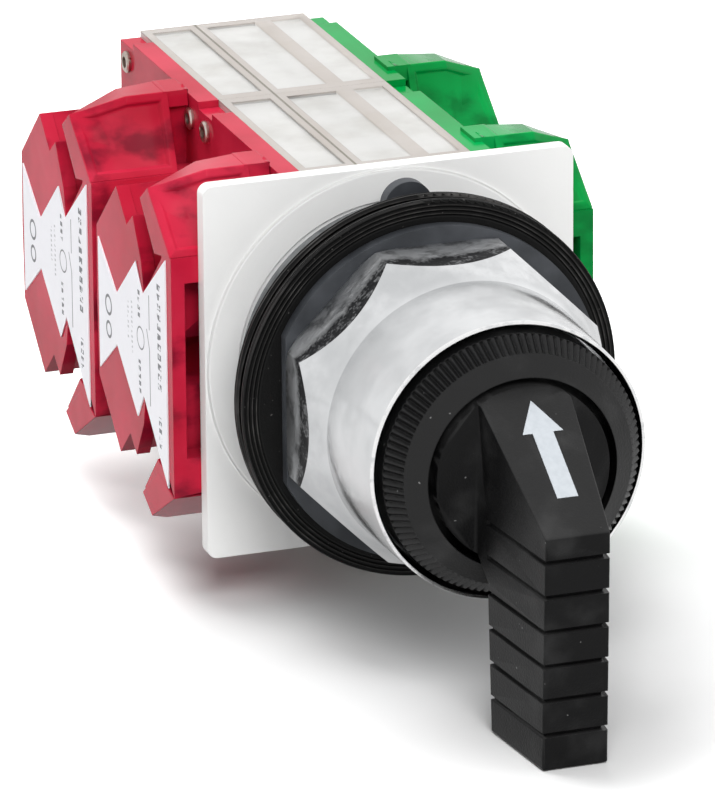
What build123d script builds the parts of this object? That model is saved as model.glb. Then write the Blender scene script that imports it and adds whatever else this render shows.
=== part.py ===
from build123d import *
import math
import os

os.makedirs("parts", exist_ok=True)

# Frame: the turning axis is Y and the origin is where the panel's front face sits under the trim
# washer. The knob is towards -Y, the contact blocks are towards +Y, and +Z is the 12 o'clock side.

# Clearances
turning_clearance = 0.07
sliding_clearance = 0.06
thread_clearance = 0.06
seat_clearance = 0.1
pocket_clearance = 0.04
contact_clearance = 0.05

# Panel seat hardware: radial sizes are counted outward from the barrel
barrel_radius = 15.0
trim_overhang = 4.7
trim_thickness = 1.5
trim_flat_depth = 2.0
gasket_overhang = 7.3
gasket_layer = 1.15
gasket_step = 0.45
gasket_round = 0.35
tab_washer_overhang = 4.6
tab_washer_thickness = 5.2
tab_reach = 2.8
tab_radius = 2.9
tab_thickness = 1.6

# Ring nut
nut_sides = 8
nut_apothem_overhang = 2.7
nut_corner_overhang = 4.3
nut_bevel = 0.8
nut_flange_length = 4.2
nut_cone_length = 6.0
sleeve_root_overhang = 1.5
rim_overhang = 1.05
rim_wall = 0.35
rim_length = 2.5
nut_thread_relief = 1.5

# Knob retaining ring: its front is a shallow cone with a knurled bevel round it
ring_face_y = -29.4
rim_behind_face = 4.4
ring_inset = 0.05
ring_width = 3.95
ring_lip = 2.0
ring_cone_width = 2.6
ring_cone_drop = 1.5
ring_bevel_drop = 1.9
ring_pocket_margin = 0.15
ring_length = 8.7
ring_skirt_wall = 1.1
knurl_count = 108
knurl_depth = 0.45

# Knob: places along the depth are counted from the retaining ring's face
knob_disc_gap = 0.9
knob_disc_proud = 0.1
knob_collar_overlap = 1.3
knob_collar_thickness = 1.2
knob_hub_length = 4.6
slope_top_inset = 0.65
slope_foot = (16.9, -1.33)
lever_front_bottom = (16.0, -28.3)
lever_back_bottom = (3.3, -28.3)
lever_back_top = (2.4, -10.8)
grip_under_z = -8.6
grip_rear_half_width = 5.35
grip_front_half_width = 3.7
grip_round = 0.45
groove_count = 6
groove_pitch = 4.03
groove_start = 2.8
groove_width = 0.6
groove_depth = 0.5
arrow_length = 13.5
arrow_head_width = 4.7
arrow_head_length = 4.5
arrow_shaft_width = 2.4
arrow_depth = 0.6
arrow_top_margin = 1.25
arrow_offset = 0.5

# Operator body, rotor and push rods
neck_wall = 4.8
barrel_wall = 3.0
shoulder_overhang = 4.0
shoulder_length = 2.4
shoulder_step = 1.4
plate_front_y = 13.5
seal_width = 2.0
seal_length = 2.7
web_thickness = 3.4
shaft_square = 6.4
shaft_length = 5.6
rotor_gap = 1.4
rotor_rear_y = 4.0
turn_each_way = 45.0
plunger_travel = 1.5
rod_offset = 6.6
push_rod_radius = 1.6
rod_tip_clearance = 0.25
guide_thickness = 3.0
guide_ledge = 0.8
detent_thickness = 0.5
detent_width = 4.2
detent_margin = 0.6
detent_dimple_radius = 1.1
detent_engagement = 0.25
detent_groove_radius = 1.25
detent_groove_depth = 0.7

# Base plate
plate_margin = 0.25
plate_thickness = 2.0
plate_corner_radius = 1.2
plate_boss_width = 3.6
plate_boss_height = 0.3
plate_hole_radius = 2.2
plate_screw_radius = 1.4
plate_screw_head_radius = 2.6
plate_screw_inset = 2.4
plate_screw_length = 6.0

# Contact blocks: places along the depth are counted forward from the label face's rear edge
layer_depth = 29.5
rear_overhang = 1.5
block_half_height = 22.0
slab_step = 0.8
slab_step_length = 5.0
seam_x = -3.0
slab_inner_x = {"left": -9.8, "right": 10.8}
slab_thickness = 2.5
label_face_x = 25.5
cheek = 1.6
web_to_slab = 1.7
case_wall = 1.2
seam_wall = 0.9
rib_x = 3.6
rib_thickness = 0.8
pane_recess = 0.35
pane_margin = 1.0
boss_side = 3.2
rivet_radius = 0.95
rivet_head_radius = 1.3
rivet_head_height = 0.5
guide_boss_length = 4.5
guide_boss_radius = 2.4

# Terminal housing's outline, as (depth forward of the rear edge, height) in a box of this size
outline_depth = 28.0
outline_half_height = 22.0
body_rear_top = (0.3, 9.2)
body_crown = (8.0, 16.2)
body_notch = (11.8, 12.7)
body_bump = (14.1, 14.5)
body_lip = (17.0, 9.8)
slot_root = (17.8, 6.2)
slot_front_top = (24.6, 12.6)
flange_top = 13.6
recess_depth = 3.0
recess_half_height = 10.5
deep_recess_depth = 8.0
deep_recess_half_height = 3.0

# Arm of each housing half: foot and tip at the label face, at a bend and at the slab
arm_foot_outer = (26.6, 13.4)
arm_foot_inner = (22.0, 12.4)
arm_tip_outer = (19.9, 19.6)
arm_tip_inner = (17.0, 17.5)
bend_place = 0.43
bend_foot_outer = (25.4, 12.6)
bend_foot_inner = (21.0, 11.1)
bend_tip_outer = (22.2, 21.9)
bend_tip_inner = (19.6, 21.2)
fin_foot_outer = (22.9, 11.6)
fin_foot_inner = (19.7, 9.4)
fin_tip_outer = (24.2, 22.5)
fin_tip_inner = (22.0, 22.5)

# Terminals and contacts
slot_pocket_width = 6.8
slot_pocket_back = 0.3
slot_pocket_length = 18.0
strap_thickness = 0.9
tongue_depth = 17.9
tongue_top = 11.2
tongue_bottom = 7.2
tongue_past_contact = 2.2
tongue_root = 0.8
contact_z = 9.1
button_radius = 1.2
button_height = 0.4
terminal_screw_radius = 1.6
terminal_screw_length = 3.6
terminal_head_radius = 2.8
terminal_head_height = 2.0
driver_slot_width = 0.8
driver_slot_depth = 1.0
clamp_side = 6.0
clamp_thickness = 1.2
bridge_width = 3.6
bridge_thickness = 0.7
bridge_end_margin = 0.3
plunger_radius = 1.4
plunger_collar_radius = 2.3
plunger_collar_length = 1.5
plunger_nose = 1.5
plunger_gap = 0.1
spring_radius = 1.95
spring_wire_radius = 0.3
spring_pitch = 2.6
block_screw_x = 0.55
block_screw_z = 15.0
block_screw_radius = 1.75
block_screw_head_radius = 2.3
block_screw_head_height = 2.2
block_screw_engagement = 4.4
screw_boss_margin = 3.5

# Labels on the outer faces of the left blocks
label_thickness = 0.15
label_outline = ((1.1, 8.0), (7.8, 3.1), (15.2, 9.4), (17.6, 6.1), (26.2, 12.9))

# Places that follow from the sizes above
trim_radius = barrel_radius + trim_overhang
gasket_radius = barrel_radius + gasket_overhang
tab_washer_radius = barrel_radius + tab_washer_overhang
tab_height = tab_washer_radius + tab_reach
nut_corner_radius = barrel_radius + nut_corner_overhang
rim_radius = barrel_radius + rim_overhang
ring_radius = barrel_radius - ring_inset
ring_hole_radius = ring_radius - ring_width
ring_bore_radius = ring_radius - ring_skirt_wall
knob_disc_radius = ring_hole_radius - knob_disc_gap
knob_collar_radius = ring_hole_radius + knob_collar_overlap
neck_radius = ring_bore_radius - thread_clearance
knob_hub_radius = neck_radius - neck_wall
bore_radius = barrel_radius - barrel_wall
body_shoulder_radius = barrel_radius + shoulder_overhang
body_rear_radius = body_shoulder_radius - shoulder_step
gasket_rear_y = 3 * gasket_layer
shoulder_y = gasket_rear_y + tab_washer_thickness
nut_rear_y = -trim_thickness
nut_flange_front_y = nut_rear_y - nut_flange_length
cone_front_y = nut_flange_front_y - nut_cone_length
rim_y = ring_face_y + rim_behind_face
ring_lip_rear_y = ring_face_y + ring_lip
ring_rear_y = ring_face_y + ring_length
collar_front_y = ring_lip_rear_y + seat_clearance
collar_rear_y = collar_front_y + knob_collar_thickness
neck_front_y = collar_rear_y + seat_clearance
web_front_y = neck_front_y + seal_length
web_rear_y = web_front_y + web_thickness
rotor_front_y = web_rear_y + rotor_gap
knob_disc_y = ring_face_y - knob_disc_proud
hub_rear_y = collar_rear_y + knob_hub_length
thread_front_y = ring_rear_y + seat_clearance
nut_thread_end_y = thread_front_y + nut_thread_relief
plate_rear_y = plate_front_y + plate_thickness
rotor_radius = bore_radius - turning_clearance
hub_bore_radius = knob_hub_radius + turning_clearance
guide_front_y = plate_front_y - guide_thickness
detent_outer_radius = bore_radius - detent_margin
detent_inner_radius = detent_outer_radius - detent_width
detent_circle_radius = detent_outer_radius - detent_width / 2
ramp_slope = plunger_travel / (rod_offset * math.sin(math.radians(turn_each_way)))
ramp_angle = math.atan(ramp_slope)
rod_tip_centre_y = rotor_rear_y + (push_rod_radius + rod_tip_clearance) / math.cos(ramp_angle)
plunger_front_y = plate_rear_y - plunger_nose
rod_rear_y = plunger_front_y - plunger_gap
plunger_hole_radius = plunger_radius + sliding_clearance
plate_side = 2 * (block_half_height + plate_margin)
plate_boss_radius = block_half_height
front_depth = layer_depth - rear_overhang
depth_stretch = front_depth / outline_depth
height_stretch = block_half_height / outline_half_height
tongue_place = tongue_depth * depth_stretch
tongue_top_z = tongue_top * height_stretch
tongue_bottom_z = tongue_bottom * height_stretch
tongue_front = tongue_place + strap_thickness
contact_place_z = contact_z * height_stretch
bridge_half_length = contact_place_z + button_radius + bridge_end_margin


def ring_profile(inner, outer, start, end):
    """A rectangle in the XY half plane, turned about Y by the revolve that follows."""
    with Locations(((inner + outer) / 2, (start + end) / 2)):
        Rectangle(outer - inner, end - start)


# Knob: collar and hub turned, grip drawn in side view, cut to a wedge in plan and kept on the disc
slope_top_z = knob_disc_radius - slope_top_inset
slope_foot_y = ring_face_y - slope_foot[0]
lever_back_y = ring_face_y - lever_back_top[0]
slope_run = ring_face_y - slope_foot_y
slope_rise = slope_top_z - slope_foot[1]
slope_plane = Plane(
    origin=(0, ring_face_y, slope_top_z),
    x_dir=(1, 0, 0),
    z_dir=(0, -slope_rise, slope_run),
)
arrow_tip = -arrow_top_margin
arrow_neck = arrow_tip - arrow_head_length
arrow_tail = arrow_tip - arrow_length


def arrow_outline(gap):
    """The arrow's outline on the sloped face, grown by a gap all round."""
    with BuildSketch() as outline:
        with BuildLine():
            Polyline(
                (arrow_offset, arrow_tip),
                (arrow_offset + arrow_head_width / 2, arrow_neck),
                (arrow_offset + arrow_shaft_width / 2, arrow_neck),
                (arrow_offset + arrow_shaft_width / 2, arrow_tail),
                (arrow_offset - arrow_shaft_width / 2, arrow_tail),
                (arrow_offset - arrow_shaft_width / 2, arrow_neck),
                (arrow_offset - arrow_head_width / 2, arrow_neck),
                close=True,
            )
        make_face()
        if gap:
            offset(amount=gap, kind=Kind.INTERSECTION)
    return outline.sketch


def grip_plan(inset):
    """The grip's wedge in plan, drawn in by an inset on its front and sides."""
    rear_y = ring_face_y + seat_clearance
    front_y = slope_foot_y + inset
    with BuildSketch() as plan:
        with BuildLine():
            Polyline(
                (-grip_rear_half_width + inset, rear_y),
                (grip_rear_half_width - inset, rear_y),
                (grip_front_half_width - inset, front_y),
                (-grip_front_half_width + inset, front_y),
                close=True,
            )
        make_face()
    return plan.sketch


with BuildPart() as knob:
    with BuildSketch(Plane.YZ.offset(-grip_rear_half_width)):
        with BuildLine():
            Polyline(
                (ring_face_y, slope_top_z),
                (slope_foot_y, slope_foot[1]),
                (ring_face_y - lever_front_bottom[0], lever_front_bottom[1]),
                (ring_face_y - lever_back_bottom[0], lever_back_bottom[1]),
                (lever_back_y, lever_back_top[1]),
                (ring_face_y, grip_under_z),
                close=True,
            )
        make_face()
    extrude(amount=2 * grip_rear_half_width)
    with BuildSketch(Plane.XY.offset(lever_front_bottom[1])):
        add(grip_plan(0))
    extrude(amount=slope_top_z - lever_front_bottom[1], mode=Mode.INTERSECT)
    with BuildSketch(Plane.XZ.offset(-ring_face_y)):
        Circle(knob_disc_radius)
        with Locations((0, lever_front_bottom[1])):
            Rectangle(
                2 * grip_rear_half_width,
                -lever_front_bottom[1],
                align=(Align.CENTER, Align.MIN),
            )
    extrude(amount=slope_run, mode=Mode.INTERSECT)
    fillet(knob.edges().filter_by(Axis.X).group_by(Axis.Y)[0], grip_round)
    fillet(
        knob.edges().filter_by(lambda edge: edge.center().Y < lever_back_y and abs(edge.center().X) > 1),
        grip_round / 2,
    )
    for groove in range(groove_count):
        groove_z = slope_foot[1] - groove_start - groove * groove_pitch
        with BuildSketch(Plane.XY.offset(groove_z - groove_width / 2)):
            with Locations((0, lever_back_y)):
                Rectangle(3 * grip_rear_half_width, 2 * slope_run, align=(Align.CENTER, Align.MAX))
            add(grip_plan(groove_depth), mode=Mode.SUBTRACT)
        extrude(amount=groove_width, mode=Mode.SUBTRACT)
    with BuildSketch(Plane.XY):
        ring_profile(0, knob_disc_radius, knob_disc_y, collar_front_y)
        ring_profile(0, knob_collar_radius, collar_front_y, collar_rear_y)
        ring_profile(0, knob_hub_radius, collar_rear_y, hub_rear_y)
    revolve(axis=Axis.Y)
    with BuildSketch(Plane.XZ.offset(-hub_rear_y)):
        Rectangle(shaft_square + 2 * pocket_clearance, shaft_square + 2 * pocket_clearance)
    extrude(amount=shaft_length + pocket_clearance, mode=Mode.SUBTRACT)
    with BuildSketch(slope_plane):
        add(arrow_outline(pocket_clearance))
    extrude(amount=-arrow_depth, mode=Mode.SUBTRACT)
knob.part.label = "knob"
export_step(knob.part, "parts/knob.step")

with BuildPart() as knob_arrow:
    with BuildSketch(slope_plane):
        add(arrow_outline(0))
    extrude(amount=-arrow_depth)
knob_arrow.part.label = "knob_arrow"
export_step(knob_arrow.part, "parts/knob_arrow.step")

# Knob retaining ring: a screwed cap whose pocket holds the knob's collar against the neck
ring_cone_radius = ring_hole_radius + ring_cone_width
ring_cone_y = ring_face_y + ring_cone_drop
ring_bevel_y = ring_cone_y + ring_bevel_drop
with BuildPart() as knob_retaining_ring:
    with BuildSketch(Plane.XY):
        with BuildLine():
            Polyline(
                (ring_hole_radius, ring_face_y),
                (ring_cone_radius, ring_cone_y),
                (ring_radius, ring_bevel_y),
                (ring_radius, ring_rear_y),
                (ring_bore_radius, ring_rear_y),
                (ring_bore_radius, neck_front_y - seat_clearance),
                (knob_collar_radius + ring_pocket_margin, neck_front_y - seat_clearance),
                (knob_collar_radius + ring_pocket_margin, ring_lip_rear_y),
                (ring_hole_radius, ring_lip_rear_y),
                close=True,
            )
        make_face()
    revolve(axis=Axis.Y)
bevel_run = ring_radius - ring_cone_radius
bevel_length = math.hypot(bevel_run, ring_bevel_drop)
bevel_plane = Plane(
    origin=((ring_radius + ring_cone_radius) / 2, (ring_cone_y + ring_bevel_y) / 2, 0),
    x_dir=(0, 0, 1),
    z_dir=(bevel_run, ring_bevel_drop, 0),
)
knurl_pitch = 360 / knurl_count
with BuildPart() as knurl_cutter:
    with BuildSketch(bevel_plane):
        Rectangle(knurl_depth * 1.3, knurl_depth * 1.3, rotation=45)
    extrude(amount=0.6 * bevel_length, both=True)
knurl_cuts = [
    knurl_cutter.part.rotate(Axis.Y, knurl_pitch * index) for index in range(knurl_count)
]
with BuildPart() as knurled:
    add(knob_retaining_ring.part)
    add(knurl_cuts, mode=Mode.SUBTRACT)
knurled.part.label = "knob_retaining_ring"
export_step(knurled.part, "parts/knob_retaining_ring.step")

# Ring nut: an octagonal flange turned down to a cone that runs into a slightly tapered sleeve
with BuildPart() as ring_nut:
    with BuildSketch(Plane.XY):
        with BuildLine():
            Polyline(
                (barrel_radius + thread_clearance, nut_rear_y),
                (nut_corner_radius - nut_bevel, nut_rear_y),
                (nut_corner_radius, nut_rear_y - nut_bevel),
                (nut_corner_radius, nut_flange_front_y),
                (barrel_radius + sleeve_root_overhang, cone_front_y),
                (rim_radius, rim_y),
                (rim_radius - rim_wall, rim_y),
                (ring_radius + 3 * seat_clearance, rim_y + rim_length),
                (ring_radius + 3 * seat_clearance, nut_thread_end_y),
                (barrel_radius + thread_clearance, nut_thread_end_y),
                close=True,
            )
        make_face()
    revolve(axis=Axis.Y)
    with BuildSketch(Plane.XZ.offset(-nut_rear_y)):
        RegularPolygon(
            barrel_radius + nut_apothem_overhang,
            nut_sides,
            major_radius=False,
            rotation=180 / nut_sides,
        )
    extrude(amount=nut_rear_y - rim_y, mode=Mode.INTERSECT)
ring_nut.part.label = "ring_nut"
export_step(ring_nut.part, "parts/ring_nut.step")

# Trim washer with one flat, three gasket layers and a thick washer whose tab stands at its back edge
washer_bore_radius = barrel_radius + seat_clearance
with BuildPart() as trim_washer:
    with BuildSketch(Plane.XZ):
        Circle(trim_radius)
        with Locations((trim_flat_depth - trim_radius, 0)):
            Rectangle(trim_radius, 2 * trim_radius, align=(Align.MAX, Align.CENTER), mode=Mode.SUBTRACT)
        Circle(washer_bore_radius, mode=Mode.SUBTRACT)
    extrude(amount=trim_thickness)
trim_washer.part.label = "trim_washer"
export_step(trim_washer.part, "parts/trim_washer.step")

for layer, place in enumerate(("front", "middle", "rear")):
    outer_radius = gasket_radius - layer % 2 * gasket_step
    with BuildPart() as gasket:
        with BuildSketch(Plane.XZ.offset(-(layer + 1) * gasket_layer)):
            Circle(outer_radius)
            Circle(washer_bore_radius, mode=Mode.SUBTRACT)
        extrude(amount=gasket_layer)
        fillet(gasket.edges().filter_by(GeomType.CIRCLE).group_by(SortBy.RADIUS)[-1], gasket_round)
    gasket.part.label = f"gasket_{place}"
    export_step(gasket.part, f"parts/gasket_{place}.step")

with BuildPart() as locating_tab_washer:
    with BuildSketch(Plane.XZ.offset(-shoulder_y)):
        Circle(tab_washer_radius)
        Circle(washer_bore_radius, mode=Mode.SUBTRACT)
    extrude(amount=tab_washer_thickness)
    with BuildSketch(Plane.XZ.offset(-shoulder_y)):
        with Locations((0, tab_height - tab_radius)):
            Circle(tab_radius)
            Rectangle(2 * tab_radius, tab_radius, align=(Align.CENTER, Align.MAX))
    extrude(amount=tab_thickness)
locating_tab_washer.part.label = "locating_tab_washer"
export_step(locating_tab_washer.part, "parts/locating_tab_washer.step")

# Operator body: threaded barrel, shoulder and rear drum, bored for the rotor and the rod guide
block_screw_places = [(block_screw_x, block_screw_z), (block_screw_x, -block_screw_z)]
plate_screw_offset = body_rear_radius - plate_screw_inset
plate_screw_places = [(plate_screw_offset, 0), (-plate_screw_offset, 0)]
seal_radius = knob_hub_radius + seal_width
guide_pocket_radius = bore_radius + guide_ledge
with BuildPart() as operator_body:
    with BuildSketch(Plane.XY):
        with BuildLine():
            Polyline(
                (seal_radius, neck_front_y),
                (neck_radius, neck_front_y),
                (neck_radius, thread_front_y),
                (barrel_radius, thread_front_y),
                (barrel_radius, shoulder_y),
                (body_shoulder_radius, shoulder_y),
                (body_shoulder_radius, shoulder_y + shoulder_length),
                (body_rear_radius, shoulder_y + shoulder_length),
                (body_rear_radius, plate_front_y),
                (guide_pocket_radius, plate_front_y),
                (guide_pocket_radius, guide_front_y),
                (bore_radius, guide_front_y),
                (bore_radius, web_rear_y),
                (hub_bore_radius, web_rear_y),
                (hub_bore_radius, web_front_y),
                (seal_radius, web_front_y),
                close=True,
            )
        make_face()
    revolve(axis=Axis.Y)
    with BuildSketch(Plane.XZ.offset(-plate_front_y)):
        with Locations(*block_screw_places):
            Circle(block_screw_radius + thread_clearance)
    extrude(amount=block_screw_engagement, mode=Mode.SUBTRACT)
    with BuildSketch(Plane.XZ.offset(-plate_front_y)):
        with Locations(*plate_screw_places):
            Circle(plate_screw_radius + thread_clearance)
    extrude(amount=plate_screw_length - plate_thickness, mode=Mode.SUBTRACT)
operator_body.part.label = "operator_body"
export_step(operator_body.part, "parts/operator_body.step")

with BuildPart() as knob_seal:
    with BuildSketch(Plane.XY):
        ring_profile(hub_bore_radius, seal_radius, neck_front_y + seat_clearance, web_front_y)
    revolve(axis=Axis.Y)
    fillet(knob_seal.edges().filter_by(GeomType.CIRCLE), seal_width / 4)
knob_seal.part.label = "knob_seal"
export_step(knob_seal.part, "parts/knob_seal.step")

# Cam rotor: a drum with a square drive in front, detent dents, and a ramp each side behind
with BuildPart() as cam_rotor:
    ramp_reach = ramp_slope * rotor_radius
    with BuildSketch(Plane.XZ.offset(-(rotor_rear_y + ramp_reach))):
        Circle(rotor_radius)
    extrude(amount=rotor_rear_y + ramp_reach - rotor_front_y)
    with BuildSketch(Plane.XZ.offset(-rotor_front_y)):
        Rectangle(shaft_square, shaft_square)
    extrude(amount=rotor_front_y - hub_rear_y + shaft_length)
    for side in (1, -1):
        with BuildSketch(Plane.YZ):
            with BuildLine():
                Polyline(
                    (rotor_rear_y - side * ramp_reach, -rotor_radius),
                    (rotor_rear_y + side * ramp_reach, rotor_radius),
                    (rotor_rear_y + 2 * ramp_reach, rotor_radius),
                    (rotor_rear_y + 2 * ramp_reach, -rotor_radius),
                    close=True,
                )
            make_face()
        extrude(amount=side * rotor_radius, mode=Mode.SUBTRACT)
    for turn in (-turn_each_way, 0, turn_each_way):
        for top in (0, 180):
            dent_angle = math.radians(turn + top)
            dent_x = detent_circle_radius * math.sin(dent_angle)
            dent_z = detent_circle_radius * math.cos(dent_angle)
            with Locations((dent_x, rotor_front_y + detent_groove_depth - detent_groove_radius, dent_z)):
                Sphere(detent_groove_radius, mode=Mode.SUBTRACT)
cam_rotor.part.label = "cam_rotor"
export_step(cam_rotor.part, "parts/cam_rotor.step")

# Detent spring: a flat ring in the bore's front end with two pressed dimples
with BuildPart() as detent_spring:
    dimple_y = rotor_front_y + detent_engagement - detent_dimple_radius
    with Locations((0, dimple_y, detent_circle_radius), (0, dimple_y, -detent_circle_radius)):
        Sphere(detent_dimple_radius)
    with BuildSketch(Plane.XZ.offset(-web_rear_y)):
        Circle(bore_radius)
    extrude(amount=2 * detent_dimple_radius, mode=Mode.SUBTRACT)
    with BuildSketch(Plane.XZ.offset(-(web_rear_y + detent_thickness))):
        Circle(detent_outer_radius)
        Circle(detent_inner_radius, mode=Mode.SUBTRACT)
    extrude(amount=detent_thickness)
detent_spring.part.label = "detent_spring"
export_step(detent_spring.part, "parts/detent_spring.step")

# Rod guide and the two push rods that follow the ramps
rod_places = [(-rod_offset, 0), (rod_offset, 0)]
with BuildPart() as rod_guide:
    with BuildSketch(Plane.XZ.offset(-plate_front_y)):
        Circle(guide_pocket_radius - seat_clearance)
        with Locations(*rod_places):
            Circle(push_rod_radius + sliding_clearance, mode=Mode.SUBTRACT)
    extrude(amount=guide_thickness)
rod_guide.part.label = "rod_guide"
export_step(rod_guide.part, "parts/rod_guide.step")

for side_name, side in (("left", -1), ("right", 1)):
    with BuildPart() as push_rod:
        with BuildSketch(Plane.XZ.offset(-rod_rear_y)):
            with Locations((side * rod_offset, 0)):
                Circle(push_rod_radius)
        extrude(amount=rod_rear_y - rod_tip_centre_y)
        with Locations((side * rod_offset, rod_tip_centre_y, 0)):
            Sphere(push_rod_radius)
    push_rod.part.label = f"push_rod_{side_name}"
    export_step(push_rod.part, f"parts/push_rod_{side_name}.step")

# Base plate with a faint raised ring, and its two countersunk screws
with BuildPart() as base_plate:
    with BuildSketch(Plane.XZ.offset(-plate_rear_y)):
        RectangleRounded(plate_side, plate_side, plate_corner_radius)
    extrude(amount=plate_thickness)
    with BuildSketch(Plane.XZ.offset(-plate_front_y)):
        Circle(plate_boss_radius)
        Circle(plate_boss_radius - plate_boss_width, mode=Mode.SUBTRACT)
    extrude(amount=plate_boss_height)
    with BuildSketch(Plane.XZ.offset(-plate_rear_y)):
        with Locations(*rod_places):
            Circle(plate_hole_radius)
        with Locations(*block_screw_places):
            Circle(block_screw_radius + seat_clearance)
    extrude(amount=plate_thickness, mode=Mode.SUBTRACT)
    for place in plate_screw_places:
        with Locations(Plane.ZX.offset(plate_rear_y).location * Location((place[1], place[0], 0))):
            CounterSinkHole(plate_screw_radius + seat_clearance, plate_screw_head_radius + seat_clearance)
base_plate.part.label = "base_plate"
export_step(base_plate.part, "parts/base_plate.step")

with BuildPart() as base_plate_screws:
    with BuildSketch(Plane.XZ.offset(-plate_rear_y)):
        with Locations(*plate_screw_places):
            Circle(plate_screw_radius)
    extrude(amount=plate_screw_length)
    for place in plate_screw_places:
        with Locations(Plane.ZX.offset(plate_rear_y).location * Location((place[1], place[0], 0))):
            Cone(
                plate_screw_radius,
                plate_screw_head_radius,
                plate_screw_head_radius - plate_screw_radius,
                align=(Align.CENTER, Align.CENTER, Align.MAX),
            )
base_plate_screws.part.label = "base_plate_screws"
export_step(base_plate_screws.part, "parts/base_plate_screws.step")

# Contact blocks
layers = ("front", "rear")
stack_rear_y = plate_rear_y + len(layers) * layer_depth
block_head_seat_y = stack_rear_y - 2 * pane_recess - block_screw_head_height
slot_run = (slot_front_top[0] - slot_root[0]) * depth_stretch
slot_rise = (slot_front_top[1] - slot_root[1]) * height_stretch
terminal_offset = slot_pocket_width / 2 - slot_pocket_back
rivet_inset = case_wall + boss_side / 2
rivet_z = block_half_height - rivet_inset

with BuildPart() as block_screws:
    with BuildSketch(Plane.XZ.offset(-block_head_seat_y)):
        with Locations(*block_screw_places):
            Circle(block_screw_radius)
    extrude(amount=block_head_seat_y - plate_front_y + block_screw_engagement)
    with BuildSketch(Plane.XZ.offset(-block_head_seat_y)):
        with Locations(*block_screw_places):
            Circle(block_screw_head_radius)
            Rectangle(driver_slot_width, 3 * block_screw_head_radius, mode=Mode.SUBTRACT)
    extrude(amount=-block_screw_head_height)
block_screws.part.label = "block_screws"
export_step(block_screws.part, "parts/block_screws.step")


def stretched(points):
    """Points of the drawn outline, stretched from its box to the block's own depth and height."""
    return [(depth * depth_stretch, height * height_stretch) for depth, height in points]


def side_outline(edge_y, points):
    """A closed outline in side view from points given as depth forward of edge_y and height."""
    with BuildSketch() as outline:
        with BuildLine():
            Polyline(*[(edge_y - depth, height) for depth, height in points], close=True)
        make_face()
    return outline.sketch


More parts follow.
